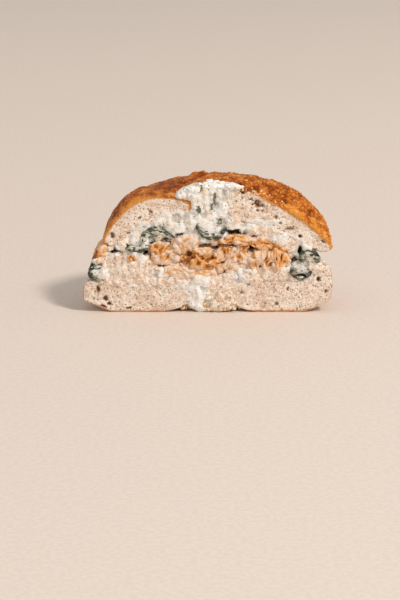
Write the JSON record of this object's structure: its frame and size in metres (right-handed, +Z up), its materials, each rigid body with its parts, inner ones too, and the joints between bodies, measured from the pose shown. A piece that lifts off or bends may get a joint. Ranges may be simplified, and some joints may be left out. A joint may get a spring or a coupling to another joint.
{
  "type": "bagel sandwich half",
  "caption": "Cut half of a filled bagel: browned crust, pale crumb, soft herb cheese, sliced chicken and green pepper strips, resting on its flat underside.",
  "frame": {"origin": "middle of the flat underside, below the middle of the part's outline", "axes": "+X to the right along the cut face, +Y away from the cut face into the sandwich, +Z up"},
  "size_m": [0.1156, 0.0581, 0.0605],
  "materials": {
    "crust": "baked golden-brown crust, slightly shiny and blistered",
    "crumb": "pale, finely holed bread crumb",
    "cheese": "soft off-white cheese spread with herb flecks, moist",
    "meat": "cooked, seasoned chicken, moist and fibrous",
    "pepper": "wet roasted green pepper skin"
  },
  "bodies": {
    "root": {"bagel_top": "crust", "bagel_base": "crumb", "cheese_upper": "cheese", "cheese_lower": "cheese", "meat_top_left": "meat", "meat_top_middle": "meat", "meat_top_right": "meat", "meat_left": "meat", "meat_middle_left": "meat", "meat_middle_right": "meat", "meat_right": "meat", "meat_bottom": "meat", "meat_left_bit": "meat", "meat_left_rim": "meat", "pepper_left_arch": "pepper", "pepper_left_leaf": "pepper", "pepper_left_rim": "pepper", "pepper_middle_bowl": "pepper", "pepper_right_arch": "pepper", "pepper_right_fold": "pepper"}
  },
  "joints": []
}
